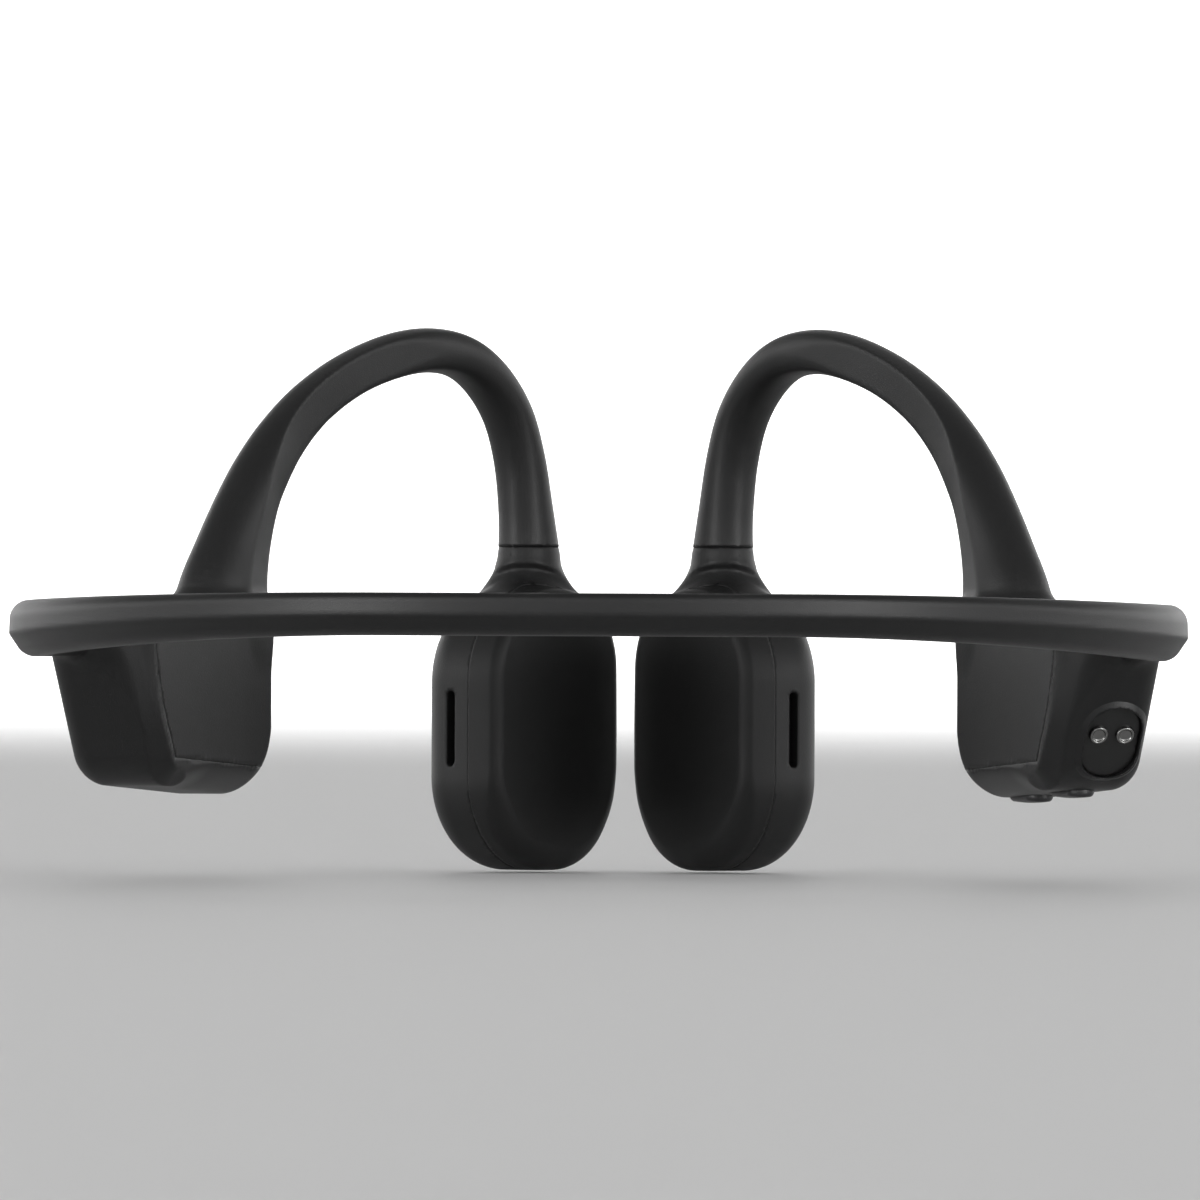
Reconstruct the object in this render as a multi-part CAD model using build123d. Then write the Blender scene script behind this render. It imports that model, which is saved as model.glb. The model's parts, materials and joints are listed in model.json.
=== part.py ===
from build123d import *

import os
from math import cos, radians, sin

# Bone conduction headphones: a springy neckband, two pods behind the ears, two ear hooks and two transducers.
# Millimetres, +Z up, +Y the way the wearer faces, origin at the bottom centre of the whole object.
# Every shape is made on the left-hand side (-X); the right-hand one is its mirror image.
# Two local frames run along each arm, with x forward, y outward (away from the head) and z up.

# Driving dimensions of the neckband: an arc in plan, in degrees from its rear middle
BAND_RADIUS = 47.1  # to the middle of the band's thickness
BAND_THICKNESS = 3.8
BAND_CENTRE_Y = -14.3
BAND_END_ANGLE = 109.0  # where the band runs into a pod
FLEX_ANGLE = 45.0  # where the arms start to swing when the band is pulled open
FLEX_GAP_ANGLE = 0.04
BAND_REAR = (20.35, 22.0, 23.85)  # bottom, crease and top at the rear middle
BAND_SIDE = (18.4, 20.2, 23.1)  # the same where the band runs along the sides
TAPER_START_ANGLE = 20.0
BAND_EDGE, BAND_UNDERCUT = 0.7, 1.3
WIRE_Z, CABLE_Z = 22.3, 21.0
LINE_DIAMETER = 0.9  # of the spring wire and of the cable
CHANNEL_CLEARANCE = 0.1  # on the diameter

# Driving dimensions of a pod, whose frame starts at its rear end
POD_HEADING = 19.0  # degrees that the arm turns in towards the head
POD_LENGTH, POD_THICKNESS = 30.0, 8.8
POD_PROUD = 0.75  # how far the pod's outer face stands out from the band's
POD_TOP, POD_REAR_BOTTOM, POD_FRONT_BOTTOM = 23.0, 7.6, 6.9
POD_REAR_SLOPE_TOP_Z, POD_REAR_SLOPE = 18.0, 6.2
POD_WALL = 1.0
POD_CORNER, POD_ROUNDING = 3.8, 1.8
POD_PARTING_Y = -2.6  # between the outer tub and the inner cover
GASKET_THICKNESS = 0.4
HOOK_BASE_X, HOOK_BASE_Y = 26.4, -0.45  # where the ear hook stands on it

# Driving dimensions of an ear hook and transducer, whose frame stands at the hook's base
HOOK_HEADING = 38.5
HOOK_END_X, HOOK_END_Z = 40.9, 27.6
HOOK_WIRE_OFFSET = 0.8  # each side of the hook's middle plane
PAD_LENGTH, PAD_HEIGHT, PAD_THICKNESS = 16.5, 24.3, 9.4
PAD_REAR_CORNER, PAD_FRONT_CORNER = 8.1, 6.8
PAD_ROUNDING, CONTACT_ROUNDING = 3.3, 2.2
PAD_BEHIND_NECK, PAD_INSIDE_NECK = 2.2, 0.95
PAD_PARTING_Y = -1.2  # between the housing and the contact cap
PAD_WALL = 1.2
MOTOR_Z, MOTOR_BACK_Y = 11.5, 1.5
SPRING_Y, SPRING_RADIUS = -2.6, 7.0

# Driving dimensions of the controls and the charging port
BUTTON_TRAVEL, BUTTON_PROUD, BUTTON_CLEARANCE = 0.4, 0.55, 0.12
FLANGE_THICKNESS, FLANGE_REACH = 0.4, 0.5  # of the rim that keeps a button in its hole
VOLUME_BUTTON_LENGTH, VOLUME_BUTTON_WIDTH = 6.4, 2.4
VOLUME_UP_X, VOLUME_DOWN_X, VOLUME_Y = 23.0, 12.0, 0.2
FUNCTION_BUTTON_LENGTH, FUNCTION_BUTTON_WIDTH = 11.0, 6.6
PORT_LENGTH, PORT_WIDTH, PORT_DEPTH = 8.6, 5.6, 0.4
PORT_Y, PORT_Z = 0.8, 11.7
PIN_RADIUS, PIN_SPACING, PIN_RISE = 0.72, 2.26, 0.45

nodes = {}


def share_between(value, start, end):
    """Smooth step from 0 at start to 1 at end."""
    share = min(1.0, max(0.0, (value - start) / (end - start)))
    return share * share * (3 - 2 * share)


def outline(corners):
    """Face in the XZ plane through (x, z, radius) corners, each rounded by its own radius."""
    face = Face(Wire.make_polygon([(x, 0, z) for x, z, _ in corners]))
    for x, z, radius in corners:
        if radius:
            corner = face.vertices().sort_by_distance((x, 0, z))[0]
            face = face.fillet_2d(radius, [corner])
    return face


def slab(corners, y_low, y_high):
    """Solid of a side-view outline between two y values."""
    face = outline(corners).moved(Location((0, y_low, 0)))
    return extrude(face, amount=y_high - y_low, dir=(0, 1, 0)).solid()


def block(x, y, z):
    """Box from three (low, high) pairs."""
    size = [high - low for low, high in (x, y, z)]
    return Location((x[0], y[0], z[0])) * Box(*size, align=(Align.MIN,) * 3)


def rod(start, direction, radius, length):
    """Cylinder from a point, along a direction."""
    plane = Plane(origin=start, z_dir=direction)
    return plane.location * Cylinder(radius, length, align=(Align.CENTER, Align.CENTER, Align.MIN))


def ring(start, direction, outer, inner, length):
    return rod(start, direction, outer, length) - rod(start, direction, inner, length)


def pill(centre, normal, x_dir, length, width, height):
    """Flat button shape with round ends, standing on its centre point along its normal."""
    plane = Plane(origin=centre, x_dir=x_dir, z_dir=normal)
    return extrude(plane * SlotOverall(length, width), amount=height, dir=normal)


def heading_vectors(heading):
    """Forward and outward directions of a left-hand arm."""
    forward = Vector(sin(radians(heading)), cos(radians(heading)), 0)
    outward = Vector(-cos(radians(heading)), sin(radians(heading)), 0)
    return forward, outward


def right(shape):
    return mirror(shape, about=Plane.YZ)


# Where the local frames stand.
pod_forward, pod_outward = heading_vectors(POD_HEADING)
hook_forward, hook_outward = heading_vectors(HOOK_HEADING)
band_end = Vector(
    -BAND_RADIUS * sin(radians(BAND_END_ANGLE)), BAND_CENTRE_Y - BAND_RADIUS * cos(radians(BAND_END_ANGLE)), 0
)
band_offset_y = (POD_THICKNESS - BAND_THICKNESS) / 2 - POD_PROUD
pod_origin = band_end - pod_outward * band_offset_y
hook_origin = pod_origin + pod_forward * HOOK_BASE_X + pod_outward * HOOK_BASE_Y
pad_origin = hook_origin + hook_forward * (HOOK_END_X - PAD_BEHIND_NECK) - hook_outward * PAD_INSIDE_NECK
POD = Plane(origin=pod_origin, x_dir=pod_forward, z_dir=(0, 0, 1)).location
HOOK = Plane(origin=hook_origin, x_dir=hook_forward, z_dir=(0, 0, 1)).location
PAD = Plane(origin=pad_origin, x_dir=hook_forward, z_dir=(0, 0, 1)).location


# Neckband --------------------------------------------------------------------------------


def band_point(angle, outward, z):
    radius = BAND_RADIUS + outward
    return (-radius * sin(radians(angle)), BAND_CENTRE_Y - radius * cos(radians(angle)), z)


def band_section(angle):
    """Eight-sided section: a straight upper face, a crease and an undercut lower face on the outside."""
    taper = share_between(abs(angle), TAPER_START_ANGLE, 90)
    bottom, crease, top = (rear + taper * (side - rear) for rear, side in zip(BAND_REAR, BAND_SIDE))
    half = BAND_THICKNESS / 2
    profile = [
        (half - BAND_EDGE, top),
        (half, top - BAND_EDGE),
        (half, crease),
        (half - BAND_UNDERCUT, bottom),
        (-half + BAND_EDGE, bottom),
        (-half, bottom + BAND_EDGE),
        (-half, top - BAND_EDGE),
        (-half + BAND_EDGE, top),
    ]
    return Face(Wire.make_polygon([band_point(angle, outward, z) for outward, z in profile]))


def band_rod(z, diameter, start, end):
    """Round rod bent along the band between two angles."""
    tangent = (-cos(radians(start)), sin(radians(start)), 0)
    section = Plane(origin=band_point(start, 0, z), z_dir=tangent) * Circle(diameter / 2)
    return revolve(section, Axis((0, BAND_CENTRE_Y, 0), (0, 0, -1)), end - start)


def band_span(start, end):
    """Sleeve, spring wire and cable of the band between two angles."""
    steps = max(3, round((end - start) / 15))
    angles = [start + (end - start) * step / steps for step in range(steps + 1)]
    sleeve = loft([band_section(angle) for angle in angles])
    for z in (WIRE_Z, CABLE_Z):
        sleeve -= band_rod(z, LINE_DIAMETER + CHANNEL_CLEARANCE, start - 1, end + 1)
    wire, cable = (band_rod(z, LINE_DIAMETER, start, end) for z in (WIRE_Z, CABLE_Z))
    return sleeve, wire, cable


def neckband():
    """Middle and two sides, between which the arms swing. The lines run on through the pods' walls."""
    middle = band_span(-FLEX_ANGLE + FLEX_GAP_ANGLE, FLEX_ANGLE - FLEX_GAP_ANGLE)
    sleeve, *lines = band_span(FLEX_ANGLE + FLEX_GAP_ANGLE, BAND_END_ANGLE)
    tails = [POD * rod((0, band_offset_y, z), (1, 0, 0), LINE_DIAMETER / 2, 2.6) for z in (WIRE_Z, CABLE_Z)]
    side = [sleeve] + [line + tail for line, tail in zip(lines, tails)]
    for name, centre, end in zip(("sleeve", "wire", "cable"), middle, side):
        nodes[f"neckband_{name}_centre"] = centre
        nodes[f"neckband_{name}_left"] = end
        nodes[f"neckband_{name}_right"] = right(end)


# Pods ------------------------------------------------------------------------------------


def pod_corners(inset):
    """Side view of a pod: a sloping rear end under the band, a rounded bottom and an upright front."""
    slope = POD_REAR_SLOPE
    rounding = POD_CORNER - inset
    return [
        (inset, POD_TOP - inset, 0),
        (inset, POD_REAR_SLOPE_TOP_Z, 0),
        (slope + inset, POD_REAR_BOTTOM + inset, rounding),
        (POD_LENGTH - inset, POD_FRONT_BOTTOM + inset, rounding),
        (POD_LENGTH - inset, POD_TOP - inset, 0),
    ]


def pod_body():
    half = POD_THICKNESS / 2
    body = slab(pod_corners(0), -half, half)
    below_top = body.edges().filter_by_position(Axis.Z, 0, POD_TOP, inclusive=(True, False))
    long_edges = [edge for edge in below_top if abs(abs(edge.center().Y) - half) < 1e-3]
    return body.fillet(POD_ROUNDING, long_edges)


def band_entries():
    """Round holes through the pod's rear wall for the band's spring wire and cable."""
    hole = (LINE_DIAMETER + CHANNEL_CLEARANCE) / 2
    return [rod((-1, band_offset_y, z), (1, 0, 0), hole, POD_WALL + 3) for z in (WIRE_Z, CABLE_Z)]


def pod_shells():
    """Outer tub, inner cover and the gasket between them, in the pod's frame."""
    half = POD_THICKNESS / 2
    body = pod_body()
    cavity = slab(pod_corners(POD_WALL), -half + POD_WALL, half - POD_WALL)
    tub = body & block((-1, POD_LENGTH + 1), (POD_PARTING_Y, half + 1), (0, 30))
    cover = body & block((-1, POD_LENGTH + 1), (-half - 1, POD_PARTING_Y - GASKET_THICKNESS), (0, 30))
    rim = slab(pod_corners(0.35), POD_PARTING_Y - GASKET_THICKNESS, POD_PARTING_Y)
    tub, cover, gasket = tub - cavity, cover - cavity, rim - cavity
    for hole in band_entries():
        tub -= hole
    return POD * tub, POD * cover, POD * gasket


def flanged_button(face, inward, along, length, width, wall):
    """Key through a wall with a retaining flange inside, the hole it works in, and where its flange ends."""
    inward, face = Vector(*inward), Vector(*face)
    depth = wall + BUTTON_CLEARANCE + FLANGE_THICKNESS
    reach = 2 * FLANGE_REACH
    flange_start = face + inward * (depth - FLANGE_THICKNESS)
    key = pill(face - inward * BUTTON_PROUD, inward, along, length, width, BUTTON_PROUD + depth)
    key = fillet(key.edges().sort_by_distance(face - inward * 20)[0:4], 0.3)
    key += pill(flange_start, inward, along, length + reach, width + reach, FLANGE_THICKNESS)
    clearance = 2 * BUTTON_CLEARANCE
    hole = pill(face - inward * 2, inward, along, length + clearance, width + clearance, 2 + wall + 0.5)
    return key, hole, face + inward * depth


def volume_button(x):
    """One of the two keys in the pod's floor, its hole and its switch."""
    share = (x - POD_REAR_SLOPE) / (POD_LENGTH - POD_REAR_SLOPE)
    floor = POD_REAR_BOTTOM + (POD_FRONT_BOTTOM - POD_REAR_BOTTOM) * share
    up, along = (0, 0, 1), (1, 0, 0)
    length, width = VOLUME_BUTTON_LENGTH, VOLUME_BUTTON_WIDTH
    key, hole, top = flanged_button((x, VOLUME_Y, floor), up, along, length, width, POD_WALL)
    switch_z = top.Z + BUTTON_TRAVEL + 0.06
    switch = rod((x, VOLUME_Y, switch_z), up, 0.7, 0.4)
    switch += block((x - 1.5, x + 1.5), (VOLUME_Y - 1.3, VOLUME_Y + 1.3), (switch_z + 0.4, switch_z + 1.2))
    return POD * key, POD * hole, POD * switch


def charging_port():
    """Magnetic port on the sloping rear end: its recess, contact block, two pins and two magnets."""
    drop = POD_REAR_SLOPE_TOP_Z - POD_REAR_BOTTOM
    slope = Vector(POD_REAR_SLOPE, 0, -drop).normalized()
    inward = Vector(drop, 0, POD_REAR_SLOPE).normalized()
    face = Vector(POD_REAR_SLOPE * (POD_REAR_SLOPE_TOP_Z - PORT_Z) / drop, PORT_Y, PORT_Z)
    floor = face + inward * PORT_DEPTH
    ledge, gap = 1.2, 0.06
    recess = pill(face - inward, inward, slope, PORT_LENGTH, PORT_WIDTH, 1 + PORT_DEPTH)
    recess += pill(face - inward, inward, slope, PORT_LENGTH - ledge, PORT_WIDTH - ledge, 4)
    contact_block = pill(floor, inward, slope, PORT_LENGTH - ledge - gap, PORT_WIDTH - ledge - gap, 1.3)
    pins, magnets = [], []
    for side in (-1, 1):
        start = floor - slope * PIN_RISE + Vector(0, side * PIN_SPACING / 2, 0)
        pin = rod(start - inward * 0.3, inward, PIN_RADIUS, 2.4)
        rims = pin.edges().filter_by(GeomType.CIRCLE)
        pins.append(fillet(rims.sort_by_distance(start - inward)[0], 0.3))
        contact_block -= rod(start - inward, inward, PIN_RADIUS + gap / 2, 4)
        magnets.append(rod(floor + inward * 1.35 + slope * side * 2.2, inward, 0.8, 1.4))
    return (
        POD * recess,
        POD * contact_block,
        Compound([POD * pin for pin in pins]),
        Compound([POD * magnet for magnet in magnets]),
    )


def battery():
    cell = slab([(8, 9.6, 1.2), (25.6, 9.6, 1.2), (25.6, 20.4, 1.2), (8, 20.4, 1.2)], -1.7, 3.0)
    board = block((3.6, 7.4), (-0.6, 0.0), (17.2, 21.4))
    return POD * cell, POD * board


def electronics():
    """Main board, shield can, antenna, microphone and status light of the right-hand pod."""
    board = slab([(7.4, 11.6, 1), (27, 11.6, 1), (27, 20.6, 1), (7.4, 20.6, 1)], -1.5, -0.9)
    can = slab([(9, 12.6, 0.5), (19, 12.6, 0.5), (19, 19.6, 0.5), (9, 19.6, 0.5)], -0.9, 0.7)
    antenna = block((20.5, 26.5), (-0.9, -0.3), (18.4, 20.2))
    microphone = block((21.3, 24.3), (2.2, 3.2), (10.8, 13.4))
    light = rod((7.0, 2.0, 20.0), (0, 1, 0), 0.6, POD_THICKNESS / 2 - 2.0)
    light_hole = rod((7.0, 2.0, 20.0), (0, 1, 0), 0.63, 4)
    microphone_hole = rod((22.8, 3.0, 12.1), (0, 1, 0), 0.45, 3)
    return (POD * board, POD * can, POD * antenna, POD * microphone, POD * light), (
        POD * light_hole,
        POD * microphone_hole,
    )


def pods(hook_channels):
    for side in ("left", "right"):
        tub, cover, gasket = pod_shells()
        for channel in hook_channels:
            tub -= channel
        if side == "left":
            nodes["battery_cell"], nodes["battery_board"] = battery()
        else:
            parts, holes = electronics()
            names = ("main_board", "shield_can", "antenna", "pod_microphone", "status_light")
            for name, part in zip(names, parts):
                nodes[name] = right(part)
            recess, contact_block, pins, magnets = charging_port()
            nodes["charging_block"] = right(contact_block)
            nodes["charging_pins"] = right(pins)
            nodes["charging_magnets"] = right(magnets)
            switches = []
            for name, x in (("volume_up_button", VOLUME_UP_X), ("volume_down_button", VOLUME_DOWN_X)):
                button, hole, switch = volume_button(x)
                nodes[name] = right(button)
                switches.append(right(switch))
                holes += (hole,)
            nodes["volume_switches"] = Compound(switches)
            for hole in (*holes, recess):
                tub -= hole
            tub, cover, gasket = right(tub), right(cover), right(gasket)
        nodes[side + "_pod_tub"], nodes[side + "_pod_cover"], nodes[side + "_pod_gasket"] = tub, cover, gasket


# Ear hooks -------------------------------------------------------------------------------

# Stations along a hook: x, z, direction in degrees above the horizontal, size in its plane, thickness.
HOOK_STATIONS = [
    (0.3, 23.0, 90, 9.0, 7.4),
    (1.7, 26.9, 69, 7.0, 6.1),
    (4.0, 31.3, 59, 5.6, 5.3),
    (8.5, 36.8, 45, 4.4, 5.0),
    (14.4, 41.0, 28, 3.8, 4.9),
    (22.0, 44.0, 12, 3.7, 4.9),
    (29.2, 44.5, -8, 3.6, 4.9),
    (34.6, 42.5, -36, 3.7, 4.7),
    (38.6, 38.3, -62, 3.9, 4.6),
    (40.4, 32.8, -82, 4.4, 4.6),
    (HOOK_END_X, HOOK_END_Z, -90, 5.6, 5.2),
]
# The spring wire's route through a hook: straight runs joined by the largest arcs they allow.
HOOK_WIRE_POINTS = [(0.3, 21.2), (0.3, 30.0), (17.5, 44.4), (34.8, 44.4), (41.0, 33.7), (41.0, 22.3)]
HOOK_WIRE_RADII = [17.0, 26.0, 10.5, 21.0]


def hook_section(x, z, direction, height, thickness):
    along = (cos(radians(direction)), 0, sin(radians(direction)))
    plane = Plane(origin=(x, 0, z), x_dir=(0, 1, 0), z_dir=along)
    return plane * Ellipse(thickness / 2, height / 2)


def hook_rod(y, diameter):
    """Round rod along the hook, offset sideways from its middle plane."""
    path = FilletPolyline([(x, y, z) for x, z in HOOK_WIRE_POINTS], radius=HOOK_WIRE_RADII)
    section = Plane(origin=path @ 0, z_dir=path % 0) * Circle(diameter / 2)
    return HOOK * sweep(section, path=path)


def ear_hooks():
    """Elastomer hook with channels for its own spring wire and cable. Returns the channels."""
    hook = HOOK * loft([hook_section(*station) for station in HOOK_STATIONS])
    sides = (HOOK_WIRE_OFFSET, -HOOK_WIRE_OFFSET)
    wire, cable = (hook_rod(y, LINE_DIAMETER) for y in sides)
    channels = [hook_rod(y, LINE_DIAMETER + CHANNEL_CLEARANCE) for y in sides]
    for channel in channels:
        hook -= channel
    for side, place in (("left", lambda shape: shape), ("right", right)):
        nodes[side + "_ear_hook"] = place(hook)
        nodes[side + "_hook_wire"] = place(wire)
        nodes[side + "_hook_cable"] = place(cable)
    return channels


# Transducers -----------------------------------------------------------------------------


def pad_corners(inset):
    half, rear, front = PAD_LENGTH / 2 - inset, PAD_REAR_CORNER - inset, PAD_FRONT_CORNER - inset
    return [
        (-half, inset, rear),
        (half, inset, front),
        (half, PAD_HEIGHT - inset, front),
        (-half, PAD_HEIGHT - inset, rear),
    ]


def pad_body():
    half = PAD_THICKNESS / 2
    body = slab(pad_corners(0), -half, half)
    body = body.fillet(PAD_ROUNDING, [e for e in body.edges() if abs(e.center().Y - half) < 1e-3])
    return body.fillet(CONTACT_ROUNDING, [e for e in body.edges() if abs(e.center().Y + half) < 1e-3])


def pad_neck():
    """Flared neck between the hook's end and the housing."""
    sizes = [(HOOK_END_Z, 5.6, 5.2), (26.2, 6.2, 5.8), (25.2, 8.0, 6.9), (24.0, 12.0, 8.4), (22.5, 12.6, 8.6)]
    sections = []
    for z, length, thickness in sizes:
        plane = Plane(origin=(PAD_BEHIND_NECK, PAD_INSIDE_NECK, z), x_dir=(0, 1, 0), z_dir=(0, 0, -1))
        sections.append(plane * Ellipse(thickness / 2, length / 2))
    return loft(sections)


def sound_slot():
    """Upright slot in the housing's rear edge."""
    plane = Plane(origin=(-PAD_LENGTH / 2 - 1, 0.78, 12.2), x_dir=(0, 0, 1), z_dir=(1, 0, 0))
    return extrude(plane * SlotOverall(6.5, 1.0), amount=3)


def housing_and_cap():
    """Housing with its neck, contact cap and the seal between them, in the pad's frame."""
    half = PAD_THICKNESS / 2
    cavity = slab(pad_corners(PAD_WALL), -half + PAD_WALL, half - PAD_WALL)
    neck = pad_neck()
    everything = block((-20, 20), (-20, 20), (-1, 30))
    behind = everything & block((-20, 20), (PAD_PARTING_Y, 20), (-1, 30))
    ahead = everything & block((-20, 20), (-20, PAD_PARTING_Y), (-1, 30))
    body = pad_body()
    groove = slab(pad_corners(PAD_WALL / 2), PAD_PARTING_Y - 0.4, PAD_PARTING_Y + 0.4) - cavity
    housing = (body & behind) + neck - cavity - sound_slot() - groove
    for x in (-5.4, 5.4):
        housing += rod((x, half - PAD_WALL, MOTOR_Z), (0, -1, 0), 0.9, half - PAD_WALL - MOTOR_BACK_Y)
    cap = (body & ahead) - cavity - neck - groove
    ledge_y = SPRING_Y - 0.3
    ledge_depth = half - PAD_WALL + ledge_y
    ledge = ring((0, ledge_y, MOTOR_Z), (0, -1, 0), SPRING_RADIUS, SPRING_RADIUS - 0.6, ledge_depth)
    cap += ledge
    seal = slab(pad_corners(PAD_WALL / 2 + 0.04), PAD_PARTING_Y - 0.36, PAD_PARTING_Y + 0.36) - cavity - neck
    return housing, cap, seal


def motor():
    """Moving-coil motor that shakes the contact cap: steel cup, magnet, pole plate, coil, spring and post."""
    inward = (0, -1, 0)

    def at(y):
        return (0, y, MOTOR_Z)

    spring = rod(at(SPRING_Y), inward, SPRING_RADIUS, 0.3) - rod(at(SPRING_Y), inward, 1.6, 0.3)
    for turn in (0, 120, 240):
        slot = Location((0, SPRING_Y - 1, MOTOR_Z), (0, turn, 0)) * block((2.4, 6.0), (0, 2), (-0.5, 0.5))
        spring -= slot
    coil_end_y = -2.1
    coil_frame = rod(at(coil_end_y), inward, 5.45, coil_end_y - SPRING_Y)
    post = rod(at(coil_end_y), inward, 1.6, PAD_THICKNESS / 2 - PAD_WALL + coil_end_y)
    return {
        "motor_cup": rod(at(MOTOR_BACK_Y), inward, 6.4, 3.2) - rod(at(0.8), inward, 5.7, 3.2),
        "motor_magnet": rod(at(0.8), inward, 4.7, 1.6),
        "pole_plate": rod(at(-0.8), inward, 4.7, 0.7),
        "voice_coil": ring(at(0.2), inward, 5.45, 4.95, 0.2 - coil_end_y),
        "spring_plate": spring,
        "drive_post": coil_frame + post,
    }


def function_button():
    """Large key on the left housing's outer face, the hole it works in and its switch."""
    face = (0, PAD_THICKNESS / 2, MOTOR_Z)
    outward, inward, up = (0, 1, 0), (0, -1, 0), (0, 0, 1)
    length, width = FUNCTION_BUTTON_LENGTH, FUNCTION_BUTTON_WIDTH
    key, hole, bottom = flanged_button(face, inward, up, length, width, PAD_WALL)
    plunger_y = bottom.Y - BUTTON_TRAVEL - 0.06
    body_y = plunger_y - 0.3
    switch = block((-1.6, 1.6), (MOTOR_BACK_Y, body_y), (MOTOR_Z - 1.4, MOTOR_Z + 1.4))
    switch += rod((0, body_y, MOTOR_Z), outward, 0.8, 0.3)
    return key, hole, switch


def transducers(hook_channels):
    key, key_hole, switch = function_button()
    nodes["function_button"], nodes["function_switch"] = PAD * key, PAD * switch
    mesh_x = PAD_WALL - PAD_LENGTH / 2
    mesh = block((mesh_x, mesh_x + 0.15), (0.0, 1.6), (8.4, 15.9))
    microphone = block((2.6, 5.4), (2.5, 3.5), (3.4, 5.4))
    microphone_hole = rod((4.0, 3.4, 4.4), (0, 1, 0), 0.45, 3)
    for side, place in (("left", lambda shape: shape), ("right", right)):
        housing, cap, seal = housing_and_cap()
        housing -= key_hole if side == "left" else microphone_hole
        housing = PAD * housing
        for channel in hook_channels:
            housing -= channel
        nodes[side + "_transducer_housing"] = place(housing)
        nodes[side + "_contact_cap"] = place(PAD * cap)
        nodes[side + "_cap_seal"] = place(PAD * seal)
        nodes[side + "_vent_mesh"] = place(PAD * mesh)
        for name, part in motor().items():
            nodes[side + "_" + name] = place(PAD * part)
    nodes["cheek_microphone"] = right(PAD * microphone)


neckband()
channels = ear_hooks()
pods(channels)
transducers(channels)

os.makedirs("parts", exist_ok=True)
for name, shape in nodes.items():
    export_step(shape, f"parts/{name}.step")
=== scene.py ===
import json
from math import cos, pi, radians, sin

import bmesh
import bpy
import numpy as np
from mathutils import Matrix, Vector


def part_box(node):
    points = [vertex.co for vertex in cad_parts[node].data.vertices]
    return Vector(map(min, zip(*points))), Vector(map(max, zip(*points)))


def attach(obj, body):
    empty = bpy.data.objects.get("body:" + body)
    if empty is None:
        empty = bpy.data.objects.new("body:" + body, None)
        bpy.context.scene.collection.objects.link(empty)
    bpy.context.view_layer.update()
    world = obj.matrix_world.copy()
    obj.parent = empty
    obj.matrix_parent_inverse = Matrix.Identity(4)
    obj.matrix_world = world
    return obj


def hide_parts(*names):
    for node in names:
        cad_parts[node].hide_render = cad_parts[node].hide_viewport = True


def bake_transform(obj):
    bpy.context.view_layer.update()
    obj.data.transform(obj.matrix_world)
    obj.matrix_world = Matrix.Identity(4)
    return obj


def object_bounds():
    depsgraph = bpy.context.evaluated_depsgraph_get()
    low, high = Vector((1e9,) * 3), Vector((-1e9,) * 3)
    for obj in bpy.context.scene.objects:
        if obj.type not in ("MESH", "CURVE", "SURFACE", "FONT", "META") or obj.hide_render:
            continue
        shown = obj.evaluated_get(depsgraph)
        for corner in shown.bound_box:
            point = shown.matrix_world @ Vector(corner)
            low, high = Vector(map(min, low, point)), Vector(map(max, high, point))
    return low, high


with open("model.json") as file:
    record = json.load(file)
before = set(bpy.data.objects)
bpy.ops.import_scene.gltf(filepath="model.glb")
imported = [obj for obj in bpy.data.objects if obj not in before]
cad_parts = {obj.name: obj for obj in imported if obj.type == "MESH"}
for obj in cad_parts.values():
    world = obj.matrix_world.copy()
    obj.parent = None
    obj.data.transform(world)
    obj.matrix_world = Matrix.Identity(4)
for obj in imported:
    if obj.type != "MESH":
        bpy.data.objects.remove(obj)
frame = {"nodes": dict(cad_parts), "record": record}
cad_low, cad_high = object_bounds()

# Bone conduction headphones. Shapes are worked out in millimetres on the left-hand side (-X), in the frame's
# axes, as signed distances (negative inside); the right-hand side is mirrored. Meshes are written in metres.
MM = 0.001
UNIT = 1.0 / MM


def box_mm(node):
    low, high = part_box(node)
    return np.array(low) * UNIT, np.array(high) * UNIT


# Places taken from the frame.
BAND_OUTER = -box_mm("neckband_sleeve_left")[0][0]
BAND_CENTRE_Y = box_mm("neckband_sleeve_centre")[0][1] + BAND_OUTER
mounts = {mount["name"]: mount for mount in frame["record"]["mounts"]}
PAD_FACE = np.array(mounts["left_contact_face"]["pos_m"]) * UNIT
pad_normal = np.array(mounts["left_contact_face"]["axis"])

# The neckband's section. Heights are given at its rear middle and along its sides.
BAND_HALF = 1.9
BAND_RADIUS = BAND_OUTER - BAND_HALF
BAND_END = radians(109)
TAPER = radians(20), radians(90)
BAND_BOTTOM, BAND_CREASE, BAND_TOP = (20.35, 18.4), (22.0, 20.2), (23.85, 23.1)
UNDERCUT = radians(34)

# The pods' outline, in a frame that starts at the pod's rear end.
POD_HEADING = radians(19)
POD_LENGTH, POD_HALF, POD_PROUD = 29.8, 4.4, 0.75
POD_TOP, POD_BOTTOM = 23.1, (7.6, 6.5)
SLOPE_TOP, SLOPE_RUN = 18.0, 6.2
SLOPE_DROP = SLOPE_TOP - POD_BOTTOM[0]
COVER_EDGE_Y, COVER_TOP, COVER_MARGIN = -2.8, 21.8, 0.75
HOOK_BASE_X, HOOK_BASE_Y = 26.4, -0.45

# The transducers, in a frame that stands under their middle.
PAD_HALF_LENGTH, PAD_HALF, PAD_HEIGHT = 8.25, 4.7, 24.3
PAD_REAR_CORNER, PAD_FRONT_CORNER = 8.1, 6.8
CAP_EDGE_Y = -1.2
NECK_X, NECK_Y, NECK_TOP = 2.2, 0.95, 27.9
MOTOR_Z = 11.5
SEAM = 0.018  # half the width of a seam between two pieces

CELL = 0.3


# Distances ---------------------------------------------------------------------------------------


def step(value, start, end):
    share = np.clip((value - start) / (end - start), 0, 1)
    return share * share * (3 - 2 * share)


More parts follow.
